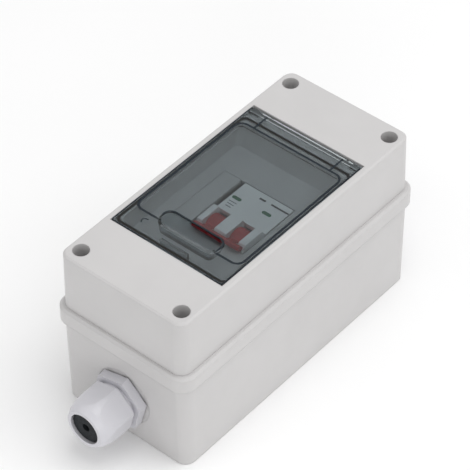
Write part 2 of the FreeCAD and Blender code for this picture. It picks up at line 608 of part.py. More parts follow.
def cut(name, base, tools):
    item = DOC.addObject("Part::Cut", name)
    item.Base = base
    item.Tool = tools[0] if len(tools) == 1 else fuse(name + "_tools", tools)
    return item


def keep(item, label):
    """Make an object a piece of the part under its label."""
    item.Label = label
    NODES.append(item)
    return item


def group(label, items):
    """Separate like solids that share one piece name."""
    item = DOC.addObject("Part::Compound", label)
    item.Links = items
    return keep(item, label)


# Enclosure

def build_base():
    body = new_body("base_box")
    outline = new_sketch(body, "base_outline")
    half_x, half_y = "base_width / 2", "base_length / 2"
    rounded_rectangle(outline, f"-{half_x}", half_x, f"-{half_y}", half_y, "base_corner")
    pad(body, outline, "base_shell", "base_height - rim_bevel", taper="base_draft")
    rim = new_sketch(body, "rim_outline", height="rim_bottom")
    rounded_rectangle(rim, "-rim_width / 2", "rim_width / 2", "-rim_length / 2", "rim_length / 2", "rim_corner")
    rim_pad = pad(body, rim, "rim", "rim_depth")
    chamfer(body, rim_pad, "rim_top_bevel", "rim_bevel", lambda edge: level(edge, work_out("base_height")))
    inside = new_sketch(body, "base_inside", height="base_height")
    posted_outline(inside, "base_inner_y")
    hollow = pocket(body, inside, "base_hollow", "base_height - base_floor")
    post_edge_x = work_out("post_x - post_radius")
    post_edge_y = work_out("post_y - post_radius")
    post_height = work_out("base_height - base_floor")

    def on_post_corner(edge):
        middle = edge.BoundBox.Center
        upright = abs(edge.BoundBox.ZLength - post_height) < 1e-3
        return upright and abs(abs(middle.x) - post_edge_x) < 1e-3 and abs(abs(middle.y) - post_edge_y) < 1e-3

    fillet(body, hollow, "post_rounds", "post_radius - 1", on_post_corner)
    groove = new_sketch(body, "gasket_groove_outline", height="base_height")
    gasket_outlines(groove, "gasket_gap")
    pocket(body, groove, "gasket_groove", "gasket_height")
    posts = new_sketch(body, "rail_post_outline", height="base_floor")
    for side in ("-", ""):
        circle(posts, f"{side}rail_screw_pitch / 2", "switch_y", "rail_post_radius")
    pad(body, posts, "rail_posts", "rail_z - rail_depth - base_floor")
    pilots = new_sketch(body, "lid_pilot_outline", height="base_height")
    for x in ("-post_x", "post_x"):
        for y in ("-post_y", "post_y"):
            circle(pilots, x, y, "lid_screw_radius + thread_gap")
    pocket(body, pilots, "lid_pilots", "lid_screw_grip + 2")
    rail_pilots = new_sketch(body, "rail_pilot_outline", height="rail_z - rail_depth")
    for side in ("-", ""):
        circle(rail_pilots, f"{side}rail_screw_pitch / 2", "switch_y", "rail_screw_radius + thread_gap")
    pocket(body, rail_pilots, "rail_pilots", "rail_screw_length + 1")
    fixings = new_sketch(body, "fixing_outline", height="base_floor")
    for x in ("-fixing_pitch_x / 2", "fixing_pitch_x / 2"):
        for y in ("-fixing_pitch_y / 2", "fixing_pitch_y / 2"):
            circle(fixings, x, y, "fixing_radius")
    pocket(body, fixings, "fixing_holes", "base_floor")
    cable = new_sketch(body, "cable_hole_outline", plane="XZ_Plane")
    circle(cable, "0", "gland_z", "gland_thread_radius + gland_hole_gap")
    pocket(body, cable, "cable_holes", "rim_length", both_ways=True)
    for end, height, reverse in (("near", "seat_y", True), ("far", "-seat_y", False)):
        seat = new_sketch(body, f"{end}_seat_outline", plane="XZ_Plane", height=height)
        circle(seat, "0", "gland_z", "gland_seat_radius")
        pocket(body, seat, f"{end}_gland_seat", "rim_depth", reverse=reverse)


def gasket_outlines(sketch, side_gap):
    """The two outlines of the gasket ring, under the middle of the lid wall."""
    for grow, cut_size in ((f"gasket_width / 2 + {side_gap}", "gasket_corner"),
                           (f"-gasket_width / 2 - {side_gap}", "(gasket_corner - gasket_width / 2)")):
        half_x = f"(lid_width / 2 - lid_wall / 2 + {grow})"
        half_y = f"(lid_length / 2 - lid_wall / 2 + {grow})"
        cut_corner_rectangle(sketch, f"-{half_x}", half_x, f"-{half_y}", half_y, cut_size)


def build_gasket():
    body = new_body("lid_gasket")
    ring = new_sketch(body, "gasket_outline", height="base_height - gasket_height")
    gasket_outlines(ring, "0")
    pad(body, ring, "gasket_ring", "gasket_height")


def build_lid():
    body = new_body("lid")
    outline = new_sketch(body, "lid_outline", height="base_height")
    rounded_rectangle(outline, "-lid_width / 2", "lid_width / 2", "-lid_length / 2", "lid_length / 2", "lid_corner")
    shell = pad(body, outline, "lid_shell", "lid_height", taper="-lid_draft")
    chamfer(body, shell, "lid_top_bevel", "lid_edge_bevel", lambda edge: level(edge, work_out("lid_top")))
    inside = new_sketch(body, "lid_inside", height="base_height")
    posted_outline(inside, "lid_inner_y")
    pocket(body, inside, "lid_hollow", "label_z - well_plate - base_height", reverse=True)
    around = new_sketch(body, "around_well", height="label_z - well_plate")
    posted_outline(around, "lid_inner_y")
    rectangle(around, "-tub_width / 2", "tub_width / 2", "-tub_near", "tub_far")
    pocket(body, around, "space_around_well", "lid_top - tub_shelf - label_z + well_plate", reverse=True)
    ends = new_sketch(body, "end_spaces", height="lid_top - tub_shelf")
    for side in ("-", ""):
        inner = f"{side}(cover_length / 2 + lid_roof)"
        outer = f"{side}lid_inner_y"
        half = "(post_x - post_radius)"
        rectangle(ends, f"-{half}", half, inner, outer)
    pocket(body, ends, "lid_end_hollows", "tub_shelf - lid_roof", reverse=True)
    rebate = new_sketch(body, "rebate_outline", height="lid_top")
    half_x, half_y = "(cover_width / 2 + cover_gap)", "(cover_length / 2 + cover_gap)"
    rectangle(rebate, f"-{half_x}", half_x, f"-{half_y}", half_y)
    pocket(body, rebate, "cover_rebate", "cover_flange + seal_height")
    mouth = new_sketch(body, "well_mouth", height="ledge_z")
    rounded_rectangle(mouth, "-well_top_width / 2", "well_top_width / 2", "-well_top_near", "well_top_far", "well_corner")
    floor = new_sketch(body, "well_floor", height="label_z")
    rounded_rectangle(floor, "-well_floor_width / 2", "well_floor_width / 2", "-well_floor_near", "well_floor_far",
                      "well_corner")
    loft("SubtractiveLoft", body, "well", [mouth, floor])
    opening = new_sketch(body, "cutout_outline", height="label_z")
    rectangle(opening, "cutout_left", "cutout_right", "cutout_near", "cutout_far")
    pocket(body, opening, "cutout", "well_plate")
    trough = new_sketch(body, "hinge_trough_outline", height="lid_top")
    trough_near = "(hinge_y - hinge_radius - hinge_room)"
    trough_middle = "(hinge_y - hinge_room)"
    boss_room = "(cover_width / 2 - hinge_boss - hinge_room)"
    polygon(trough, [(f"-{half_x}", trough_near), (f"-{boss_room}", trough_near), (f"-{boss_room}", trough_middle),
                     (boss_room, trough_middle), (boss_room, trough_near), (half_x, trough_near),
                     (half_x, half_y), (f"-{half_x}", half_y)])
    pocket(body, trough, "hinge_trough", "2 * hinge_radius + hinge_room")
    holes = new_sketch(body, "trunnion_holes_outline", plane="YZ_Plane")
    circle(holes, "hinge_y", "hinge_z", "hinge_pin_radius + hinge_clearance")
    pocket(body, holes, "trunnion_holes", "cover_width + 2 * hinge_pin_length + 0.6", both_ways=True)
    wells = new_sketch(body, "screw_well_outline", height="lid_top")
    shanks = new_sketch(body, "screw_hole_outline", height="head_seat_z")
    for x in ("-post_x", "post_x"):
        for y in ("-post_y", "post_y"):
            circle(wells, x, y, "screw_well_radius")
            circle(shanks, x, y, "lid_screw_radius + pass_gap")
    pocket(body, wells, "screw_wells", "lid_top - head_seat_z")
    pocket(body, shanks, "screw_holes", "screw_well_floor")
    ridge = new_sketch(body, "catch_ridge_outline", height="ledge_z - 3")
    inner = "-(catch_y + catch_nose + 0.25)"
    polygon(ridge, [("-catch_width / 2", "-well_top_near"), ("catch_width / 2", "-well_top_near"),
                    ("catch_width / 2", inner), ("-catch_width / 2", inner)])
    pad(body, ridge, "catch_ridge", "1")


def build_seal():
    body = new_body("window_seal")
    ring = new_sketch(body, "seal_outline", height="ledge_z")
    cut_corner_rectangle(ring, "-seal_outer_width / 2", "seal_outer_width / 2", "-seal_near", "seal_far", "seal_corner")
    inner_x = "(seal_outer_width / 2 - seal_width)"
    cut_corner_rectangle(ring, f"-{inner_x}", inner_x, "-(seal_near - seal_width)", "(seal_far - seal_width)",
                         "(seal_corner - seal_width / 2)")
    pad(body, ring, "seal_ring", "seal_height")


def build_cover():
    """The smoked cover: flange, raised pane, finger scoop, catch and hinge roll with its trunnions."""
    body = new_body("window_cover")
    half_x = "cover_width / 2"
    flange = new_sketch(body, "flange_outline", height="lid_top - cover_flange")
    polygon(flange, [(f"-{half_x}", "-cover_length / 2"), (half_x, "-cover_length / 2"),
                     (half_x, "hinge_y"), (f"-{half_x}", "hinge_y")])
    plate = pad(body, flange, "flange", "cover_flange")
    near = work_out("-cover_length / 2")

    def on_near_corner(edge):
        box = edge.BoundBox
        return box.ZLength > 1 and abs(box.YMin - near) < 1e-3 and abs(box.YMax - near) < 1e-3

    fillet(body, plate, "flange_corners", "cover_corner", on_near_corner)
    under = new_sketch(body, "pane_inside", height="lid_top - cover_flange")
    inner_x = "(pane_width / 2 - pane_skirt)"
    cut_corner_rectangle(under, f"-{inner_x}", inner_x, "-(pane_near - pane_skirt)", "(pane_far - pane_skirt)",
                         "pane_skirt")
    pocket(body, under, "pane_hollow", "cover_flange - pane_thickness", reverse=True)
    groove = new_sketch(body, "pane_groove_outline", height="lid_top")
    faceted_rectangle(groove, "-pane_width / 2", "pane_width / 2", "-pane_near", "pane_far", "pane_corner")
    groove_x = "(pane_width / 2 - groove_width)"
    faceted_rectangle(groove, f"-{groove_x}", groove_x, "-(pane_near - groove_width)", "(pane_far - groove_width)",
                      "(pane_corner - groove_width)")
    pocket(body, groove, "pane_groove", "groove_depth")
    outer_top = new_sketch(body, "scoop_outer_top", height="lid_top - pane_thickness / 2")
    scoop_outline(outer_top, "scoop_width", "scoop_near", "scoop_far", "scoop_corner", "scoop_wall")
    outer_floor = new_sketch(body, "scoop_outer_floor", height="lid_top - scoop_depth - scoop_wall")
    scoop_outline(outer_floor, "scoop_floor_width", "scoop_floor_near", "scoop_floor_far", "scoop_floor_corner",
                  "scoop_wall")
    loft("AdditiveLoft", body, "scoop_shell", [outer_top, outer_floor])
    inner_top = new_sketch(body, "scoop_mouth", height="lid_top")
    scoop_outline(inner_top, "scoop_width", "scoop_near", "scoop_far", "scoop_corner", "0")
    inner_floor = new_sketch(body, "scoop_floor", height="lid_top - scoop_depth")
    scoop_outline(inner_floor, "scoop_floor_width", "scoop_floor_near", "scoop_floor_far", "scoop_floor_corner", "0")
    loft("SubtractiveLoft", body, "scoop", [inner_top, inner_floor])
    roll = new_sketch(body, "hinge_roll_outline", plane="YZ_Plane")
    circle(roll, "hinge_y", "hinge_z", "hinge_radius")
    pad(body, roll, "hinge_roll", "cover_width", both_ways=True)
    below = new_sketch(body, "below_strip_outline", height="hinge_z")
    strip_x = "(cover_width / 2 - hinge_boss)"
    rectangle(below, f"-{strip_x}", strip_x, "(hinge_y - hinge_radius - 0.1)", "(cover_length / 2 + 0.1)")
    pocket(body, below, "space_below_strip", "hinge_radius + 0.1")
    pins = new_sketch(body, "trunnion_outline", plane="YZ_Plane")
    circle(pins, "hinge_y", "hinge_z", "hinge_pin_radius")
    pad(body, pins, "trunnions", "cover_width + 2 * hinge_pin_length", both_ways=True)
    slits = new_sketch(body, "flex_groove_outline", height="lid_top")
    for middle in ("-slit_spacing / 2", "slit_spacing / 2"):
        low, high = f"{middle} - slit_width / 2", f"{middle} + slit_width / 2"
        polygon(slits, [(low, "pane_far"), (high, "pane_far"), (high, "pane_far + slit_length"),
                        (low, "pane_far + slit_length")])
    pocket(body, slits, "flex_grooves", "slit_depth")
    catch = new_sketch(body, "catch_outline", plane="YZ_Plane")
    top = "lid_top - cover_flange"
    foot = f"{top} - catch_drop"
    polygon(catch, [("-(catch_y - catch_thickness)", top), ("-catch_y", top), ("-catch_y", f"{foot} + 1.6"),
                    ("-(catch_y + catch_nose)", f"{foot} + 0.8"), ("-catch_y", foot),
                    ("-(catch_y - catch_thickness)", foot)])
    pad(body, catch, "catch", "catch_width", both_ways=True)


def scoop_outline(sketch, width, near, far, corner, wall):
    half = f"({width} / 2 + {wall})"
    faceted_rectangle(sketch, f"-{half}", half, f"-({near} + {wall})", f"-({far} - {wall})", f"({corner} + {wall})")


def build_screw(name, x, y, head_z, head_radius, head_height, radius, length):
    """A cheese-head screw pointing down."""
    head = rod(name + "_head", head_radius, head_height, (x, y, head_z))
    shank = rod(name + "_shank", radius, length, (x, y, f"{head_z} - {length}"))
    return fuse(name, [head, shank])


def build_lid_screws():
    screws = []
    for index, (x, y) in enumerate((x, y) for x in ("-post_x", "post_x") for y in ("-post_y", "post_y")):
        screws.append(build_screw(f"lid_screw_{index}", x, y, "head_seat_z", "lid_screw_head_radius",
                                  "lid_screw_head_height", "lid_screw_radius", "(screw_well_floor + lid_screw_grip)"))
    group("lid_screws", screws)


def build_rail():
    body = new_body("din_rail")
    hat = new_sketch(body, "rail_section", plane="YZ_Plane")
    half, lip, sheet = "rail_width / 2", "rail_lip", "rail_sheet"
    bottom = "rail_z - rail_depth"
    wall = f"({half} - {lip})"
    right = [(wall, bottom), (wall, f"rail_z - {sheet}"), (half, f"rail_z - {sheet}"), (half, "rail_z"),
             (f"({wall} - {sheet})", "rail_z"), (f"({wall} - {sheet})", f"{bottom} + {sheet}")]
    outline = [(f"switch_y + {y}", z) for y, z in right]
    outline += [(f"switch_y - {y}", z) for y, z in reversed(right)]
    polygon(hat, outline)
    pad(body, hat, "rail", "rail_length", both_ways=True)
    holes = new_sketch(body, "rail_hole_outline", height="rail_z")
    for side in ("-", ""):
        circle(holes, f"{side}rail_screw_pitch / 2", "switch_y", "rail_screw_radius + pass_gap")
    pocket(body, holes, "rail_holes", "rail_depth")
    screws = [build_screw(f"rail_screw_{index}", f"{side}rail_screw_pitch / 2", "switch_y", "(rail_z - rail_depth + rail_sheet)",
                          "rail_screw_head_radius", "rail_screw_head_height", "rail_screw_radius", "rail_screw_length")
              for index, side in enumerate(("-", ""))]
    group("rail_screws", screws)


def build_blank():
    """Snap-in strip that closes the free part of the cut-out."""
    left = "(cutout_left + blank_gap)"
    near = "(cutout_near + blank_gap)"
    length = "(cutout_far - cutout_near - 2 * blank_gap)"
    under = "(label_z - well_plate)"
    plate = block("blank_plate", ("blank_width", length, "blank_plate"), (left, near, "label_z - blank_plate"))
    legs = []
    for index, middle in enumerate((f"{near} + {length} * 0.2", f"{near} + {length} * 0.8")):
        legs.append(block(f"blank_leg_{index}", ("2", "5", "blank_leg"),
                          (left, f"{middle} - 2.5", f"{under} - blank_leg")))
        legs.append(block(f"blank_lip_{index}", ("blank_lip + 1", "5", "blank_lip"),
                          (f"{left} - blank_lip", f"{middle} - 2.5", f"{under} - blank_lip")))
    for index, (start, out) in enumerate(((near, near), (f"{near} + {length} - 2", f"{near} + {length}"))):
        legs.append(block(f"blank_end_leg_{index}", ("5", "2", "blank_leg"),
                          (f"{left} + blank_width / 2", start, f"{under} - blank_leg")))
        legs.append(block(f"blank_end_lip_{index}", ("5", "2 * blank_lip", "blank_lip"),
                          (f"{left} + blank_width / 2", f"{out} - blank_lip", f"{under} - blank_lip")))
    keep(fuse("blank", [plate] + legs), "blanking_strip")


# Cable glands, built with the seat face at the origin and the cable leaving along +Y

def hexagon(sketch, across, turn):
    corners = []
    for index in range(6):
        angle = f"({turn} + {60 * index}) * 1 deg"
        corners.append((f"{across} / sqrt(3) * cos({angle})", f"{across} / sqrt(3) * sin({angle})"))
    polygon(sketch, corners)


def gland_body(label):
    return new_body(label, origin=("0", "seat_y" if label.startswith("far") else "-seat_y", "gland_z"),
                    turn=(Vector(0, 0, 1), 0 if label.startswith("far") else 180))


def ring_section(sketch, start, end, inner, outer):
    polygon(sketch, [(start, inner), (end, inner), (end, outer), (start, outer)])


def build_gland(end):
    """Washer, body, locknut, rubber and domed cap of one gland."""
    washer = gland_body(f"{end}_gland_washer")
    section = new_sketch(washer, f"{end}_washer_section", plane="YZ_Plane")
    ring_section(section, "0", "gland_washer", "gland_thread_radius + gland_hole_gap", "gland_washer_radius")
    revolve(washer, section, f"{end}_washer_ring")

    hex_end = "(gland_washer + gland_hex_length)"
    stub_end = f"({hex_end} + gland_stub_length)"
    body = gland_body(f"{end}_gland_body")
    section = new_sketch(body, f"{end}_gland_section", plane="YZ_Plane")
    tip = f"({stub_end} + gland_collar_length)"
    collar = "(gland_stub_radius - gland_collar_step)"
    polygon(section, [("-gland_inner_length", "gland_bore_radius"), (tip, "gland_bore_radius"), (tip, collar),
                      (stub_end, collar), (stub_end, "gland_stub_radius"), ("gland_washer", "gland_stub_radius"),
                      ("gland_washer", "gland_thread_radius"), ("-gland_inner_length", "gland_thread_radius")])
    revolve(body, section, f"{end}_gland_tube")
    flats = new_sketch(body, f"{end}_gland_hexagon", plane="XZ_Plane", height="-gland_washer")
    hexagon(flats, "gland_hex", "-gland_hex_turn")
    circle(flats, "0", "0", "gland_bore_radius + 1")
    pad(body, flats, f"{end}_gland_flange", "gland_hex_length", reverse=True)

    nut = gland_body(f"{end}_gland_locknut")
    flats = new_sketch(nut, f"{end}_nut_hexagon", plane="XZ_Plane", height="end_wall")
    hexagon(flats, "gland_nut_hex", "0")
    circle(flats, "0", "0", "gland_thread_radius + thread_gap")
    pad(nut, flats, f"{end}_nut", "gland_nut_length")

    cap_start = f"({hex_end} + gland_cap_start + 0.3)"
    cap_end = f"({cap_start} + gland_cap_length)"
    seal = gland_body(f"{end}_gland_seal")
    seal_end = f"({cap_end} - gland_seal_recess)"
    seal_start = f"({seal_end} - gland_seal_length)"
    section = new_sketch(seal, f"{end}_seal_section", plane="YZ_Plane")
    ring_section(section, seal_start, seal_end, "gland_seal_bore", "gland_bore_radius")
    revolve(seal, section, f"{end}_seal_rubber")

    cap = gland_body(f"{end}_gland_cap")
    section = new_sketch(cap, f"{end}_cap_section", plane="YZ_Plane")
    bore = "(gland_stub_radius + gland_cap_clearance)"
    straight = f"({cap_start} + gland_cap_straight)"
    span = f"({cap_end} - {straight})"
    drop = "(gland_cap_radius - gland_cap_lip)"
    dome = [(f"{straight} + {span} * {run}", f"gland_cap_radius - {drop} * {fall}")
            for run, fall in ((0.4, 0.12), (0.75, 0.45))]
    polygon(section, [(cap_start, bore), (f"{stub_end} + 0.6", bore), (cap_end, "gland_cap_mouth"),
                      (cap_end, "gland_cap_lip")]
            + dome[::-1] + [(straight, "gland_cap_radius"), (cap_start, "gland_cap_radius")])
    revolve(cap, section, f"{end}_cap_dome")
    flats = new_sketch(cap, f"{end}_cap_flats", plane="XZ_Plane", height=f"-{cap_start}")
    hexagon(flats, "gland_cap_hex", "-gland_cap_turn")
    circle(flats, "0", "0", "gland_cap_radius + 2")
    pocket(cap, flats, f"{end}_cap_hexagon", "gland_cap_length")


# Isolator

def case_profile(sketch):
    """Side view of a pole: feet round the rail, terminal shoulders, front with the toggle guard."""
    half = "case_length / 2"
    edge = "(rail_width / 2 + rail_side_gap)"
    under_lip = "(rail_z - rail_sheet - hook_gap)"
    foot = "(rail_z - foot_depth)"
    shoulder = "(rail_z + shoulder_height)"
    guard = "(label_z + hump_rise)"
    channel = under_lip
    polygon(sketch, [
        (f"switch_y - {half}", channel), (f"switch_y - {edge}", channel), (f"switch_y - {edge}", "rail_z"),
        (f"switch_y + {edge}", "rail_z"), (f"switch_y + {edge}", under_lip),
        (f"switch_y + {edge} - hook_reach", under_lip), (f"switch_y + {edge} - hook_reach", f"{under_lip} - 1.4"),
        (f"switch_y + {edge} + 1", foot), (f"switch_y + {edge} + foot_reach", foot),
        (f"switch_y + {edge} + foot_reach", channel), (f"switch_y + {half}", channel),
        (f"switch_y + {half}", shoulder), ("nose_far", shoulder), ("nose_far", "label_z"), ("label_end", "label_z"),
        ("label_end - hump_slope", guard), ("nose_near + hump_slope", guard), ("nose_near", "label_z"),
        ("nose_near", shoulder), (f"switch_y - {half}", shoulder)])


def rivet_places():
    low = [(f"switch_y {side} rivet_spacing_low / 2", "rail_z + rivet_low") for side in "-+"]
    return low + [(f"switch_y {side} rivet_spacing_high / 2", "rail_z + rivet_high") for side in "-+"]


def round_case(body, base, name):
    """Soften the upright outer corners of the case."""
    top = work_out("rail_z + shoulder_height")
    reach = work_out("case_length / 2")
    middle_y = work_out("switch_y")

    def wanted(edge):
        box = edge.BoundBox
        along = box.XLength > 1 and box.YLength < 1e-3 and box.ZLength < 1e-3
        return along and abs(box.ZMin - top) < 1e-3 and abs(abs(box.YMin - middle_y) - reach) < 1e-3

    return fillet(body, base, name, "case_round", wanted)


def build_pole(side, left):
    """One pole's case; left is the expression of its left side."""
    tray = new_body(f"{side}_pole_case")
    profile = new_sketch(tray, f"{side}_case_profile", plane="YZ_Plane", height=left)
    case_profile(profile)
    block_pad = pad(tray, profile, f"{side}_case_block", "pole_tray")
    round_case(tray, block_pad, f"{side}_case_rounds")
    inside = new_sketch(tray, f"{side}_case_inside", plane="YZ_Plane", height=f"{left} + case_wall")
    half = "(case_length / 2 - case_wall)"
    nose = "(nose_length / 2 - case_wall)"
    low, shoulder = "rail_z + case_wall", "rail_z + shoulder_height - case_wall"
    polygon(inside, [(f"switch_y - {half}", low), (f"switch_y + {half}", low), (f"switch_y + {half}", shoulder),
                     (f"switch_y + {nose}", shoulder), (f"switch_y + {nose}", "label_z - case_wall"),
                     (f"switch_y - {nose}", "label_z - case_wall"), (f"switch_y - {nose}", shoulder),
                     (f"switch_y - {half}", shoulder)])
    pocket(tray, inside, f"{side}_case_hollow", "pole_tray - case_wall", reverse=True)
    bosses = new_sketch(tray, f"{side}_rivet_boss_outline", plane="YZ_Plane", height=f"{left} + case_wall")
    boss = "(rivet_radius + case_wall)"
    for y, z in rivet_places():
        rectangle(bosses, f"{y} - {boss}", f"{y} + {boss}", f"{z} - {boss}", f"{z} + {boss}")
    pad(tray, bosses, f"{side}_rivet_bosses", "pole_tray - case_wall")
    guide = new_sketch(tray, f"{side}_clip_guide_outline", plane="XZ_Plane",
                       height="-(switch_y - case_length / 2 + 2)")
    clip_x = f"({left} + (pole_width - clip_width) / 2 - clip_gap)"
    clip_width = "(clip_width + 2 * clip_gap)"
    under_case = "(rail_z - rail_sheet - hook_gap)"
    room = f"({under_case} - clip_thickness - 2 * clip_gap)"
    polygon(guide, [(f"{clip_x} - guide_wall", "rail_z - foot_depth"),
                    (f"{clip_x} + {clip_width} + guide_wall", "rail_z - foot_depth"),
                    (f"{clip_x} + {clip_width} + guide_wall", under_case), (f"{clip_x} + {clip_width}", under_case),
                    (f"{clip_x} + {clip_width}", room), (clip_x, room), (clip_x, under_case),
                    (f"{clip_x} - guide_wall", under_case)])
    pad(tray, guide, f"{side}_clip_guide", "guide_length", reverse=True)
    slot_room = "(toggle_width / 2 + toggle_gap)"
    slot = new_sketch(tray, f"{side}_toggle_slot_outline", height="label_z + hump_rise")
    middle = f"({left} + pole_middle)"
    slot_near, slot_far = "toggle_y - toggle_drum - toggle_gap", "toggle_y + toggle_drum + toggle_gap"
    polygon(slot, [(f"{middle} - {slot_room}", slot_near), (f"{middle} + {slot_room}", slot_near),
                   (f"{middle} + {slot_room}", slot_far), (f"{middle} - {slot_room}", slot_far)])
    pocket(tray, slot, f"{side}_toggle_slot", "hump_rise + case_wall + 0.4")
    notch = new_sketch(tray, f"{side}_lever_notch_outline", height="label_z + hump_rise")
    lever_room = "(toggle_lever_width / 2 + toggle_gap)"
    polygon(notch, [(f"{middle} - {lever_room}", "nose_near - 1"), (f"{middle} + {lever_room}", "nose_near - 1"),
                    (f"{middle} + {lever_room}", slot_far), (f"{middle} - {lever_room}", slot_far)])
    pocket(tray, notch, f"{side}_lever_notch", "hump_rise + 2.2")
    drivers = new_sketch(tray, f"{side}_driver_hole_outline", height="rail_z + shoulder_height")
    for place_y in ("switch_y - clamp_offset", "switch_y + clamp_offset"):
        circle(drivers, middle, place_y, "terminal_hole_radius")
    pocket(tray, drivers, f"{side}_driver_holes", "2 * case_wall")
    mouths = new_sketch(tray, f"{side}_cable_mouth_outline", plane="XZ_Plane", height="-switch_y")
    mouth_low = "(rail_z + clamp_bottom + clamp_wall)"
    polygon(mouths, [(f"{middle} - mouth_width / 2", mouth_low), (f"{middle} + mouth_width / 2", mouth_low),
                     (f"{middle} + mouth_width / 2", f"{mouth_low} + mouth_height"),
                     (f"{middle} - mouth_width / 2", f"{mouth_low} + mouth_height")])
    pocket(tray, mouths, f"{side}_cable_mouths", "case_length + 2", both_ways=True)
    ribs = new_sketch(tray, f"{side}_strap_rib_outline", plane="YZ_Plane", height=f"{left} + case_wall")
    rib_top, rib_bottom = "rail_z + strap_height", "rail_z + strap_height - rib_height"
    for low in ("switch_y - rib_offset - rib_length", "switch_y + rib_offset"):
        polygon(ribs, [(low, rib_bottom), (f"{low} + rib_length", rib_bottom), (f"{low} + rib_length", rib_top),
                       (low, rib_top)])
    pad(tray, ribs, f"{side}_strap_ribs", "pole_tray - case_wall")
    pivots = new_sketch(tray, f"{side}_pivot_hole_outline", plane="YZ_Plane", height=f"{left} + case_wall")
    circle(pivots, "toggle_y", "toggle_z", "toggle_pin_radius + thread_gap")
    circle(pivots, "contact_y", "contact_z", "contact_pin_radius + thread_gap")
    pocket(tray, pivots, f"{side}_pivot_holes", "case_wall / 2")
    bores = new_sketch(tray, f"{side}_rivet_hole_outline", plane="YZ_Plane", height=left)
    for y, z in rivet_places():
        circle(bores, y, z, "rivet_radius + thread_gap")
    pocket(tray, bores, f"{side}_rivet_holes", "pole_width", reverse=True)

    cover = new_body(f"{side}_pole_cover")
    profile = new_sketch(cover, f"{side}_cover_profile", plane="YZ_Plane", height=f"{left} + pole_tray")
    case_profile(profile)
    plate = pad(cover, profile, f"{side}_cover_plate", "pole_cover")
    round_case(cover, plate, f"{side}_cover_rounds")
    pivots = new_sketch(cover, f"{side}_cover_pivots", plane="YZ_Plane", height=f"{left} + pole_tray")
    circle(pivots, "toggle_y", "toggle_z", "toggle_pin_radius + thread_gap")
    circle(pivots, "contact_y", "contact_z", "contact_pin_radius + thread_gap")
    pocket(cover, pivots, f"{side}_cover_pivot_holes", "pole_cover / 2", reverse=True)
    bores = new_sketch(cover, f"{side}_cover_rivets", plane="YZ_Plane", height=f"{left} + pole_tray")
    for y, z in rivet_places():
        circle(bores, y, z, "rivet_radius + thread_gap")
    pocket(cover, bores, f"{side}_cover_rivet_holes", "pole_cover", reverse=True)
    build_pole_works(side, left, middle)


def build_pole_works(side, left, middle):
    """What one pole holds: toggle, contacts, arc chute, strap and rail clip."""
    build_toggle(side, middle)
    half = "contact_width / 2"
    strap_z = "(rail_z + strap_height)"
    tongue = "(clamp_offset + clamp_length / 2)"
    fixed_start = "(contact_y + contact_arm - contact_overlap)"
    strip = block(f"{side}_fixed_strip", ("contact_width", f"switch_y + {tongue} - {fixed_start}", "strap_thickness"),
                  (f"{middle} - {half}", fixed_start, strap_z))
    pad_rise = "(contact_height - strap_height - strap_thickness - contact_thickness / 2 - 0.3)"
    button = rod(f"{side}_fixed_button", "1.8", pad_rise,
                 (middle, f"{fixed_start} + contact_overlap / 2", f"{strap_z} + strap_thickness"))
    keep(fuse(f"{side}_fixed", [strip, button]), f"{side}_fixed_contact")
    strap_start = f"(switch_y - {tongue})"
    keep(block(f"{side}_strap", ("contact_width", f"contact_y + 2 - {strap_start}", "strap_thickness"),
               (f"{middle} - {half}", strap_start, strap_z)), f"{side}_load_strap")
    build_moving_contact(side, middle)
    build_chute(side, left)
    build_clip(side, left)


def build_toggle(side, middle):
    """A drum on its pin with a lever that leans to OFF."""
    drum = rod(f"{side}_drum", "toggle_drum", "toggle_width", (f"{middle} - toggle_width / 2", "toggle_y", "toggle_z"), "X")
    lean = "toggle_lean * 1 deg"
    thick = "toggle_lever / 2"
    lever = block(f"{side}_lever", ("toggle_lever_width", "toggle_lever", "toggle_reach - tie_height"),
                  (f"{middle} - toggle_lever_width / 2", f"toggle_y - {thick} * cos({lean})",
                   f"toggle_z - {thick} * sin({lean})"), (Vector(1, 0, 0), work_out("toggle_lean")))
    bind(lever, "Placement.Rotation.Angle", lean)
    bore = rod(f"{side}_toggle_bore", "toggle_pin_radius + running_gap", "pole_width",
               (f"{middle} - pole_width / 2", "toggle_y", "toggle_z"), "X")
    keep(cut(f"{side}_toggle_cut", fuse(f"{side}_toggle_blank", [drum, lever]), [bore]), f"{side}_toggle")


def build_tie_bar():
    """The bar across both levers, at the toggle's far end."""
    lean = "toggle_lean * 1 deg"
    start = "(toggle_reach - tie_height)"
    thick = "toggle_lever / 2"
    bar = block("tie", ("switch_right - switch_left - 2 * tie_inset", "toggle_lever", "tie_height"),
                ("switch_left + tie_inset", f"toggle_y - {start} * sin({lean}) - {thick} * cos({lean})",
                 f"toggle_z + {start} * cos({lean}) - {thick} * sin({lean})"), (Vector(1, 0, 0), work_out("toggle_lean")))
    bind(bar, "Placement.Rotation.Angle", lean)
    rounded = DOC.addObject("Part::Fillet", "tie_rounds")
    rounded.Base = bar
    DOC.recompute()
    lengths = [edge.Length for edge in bar.Shape.Edges]
    chosen = [index for index, length in enumerate(lengths, start=1) if length > work_out("pole_width")]
    size = work_out("tie_round")
    rounded.Edges = [(index, size, size) for index in chosen]
    keep(rounded, "toggle_tie_bar")


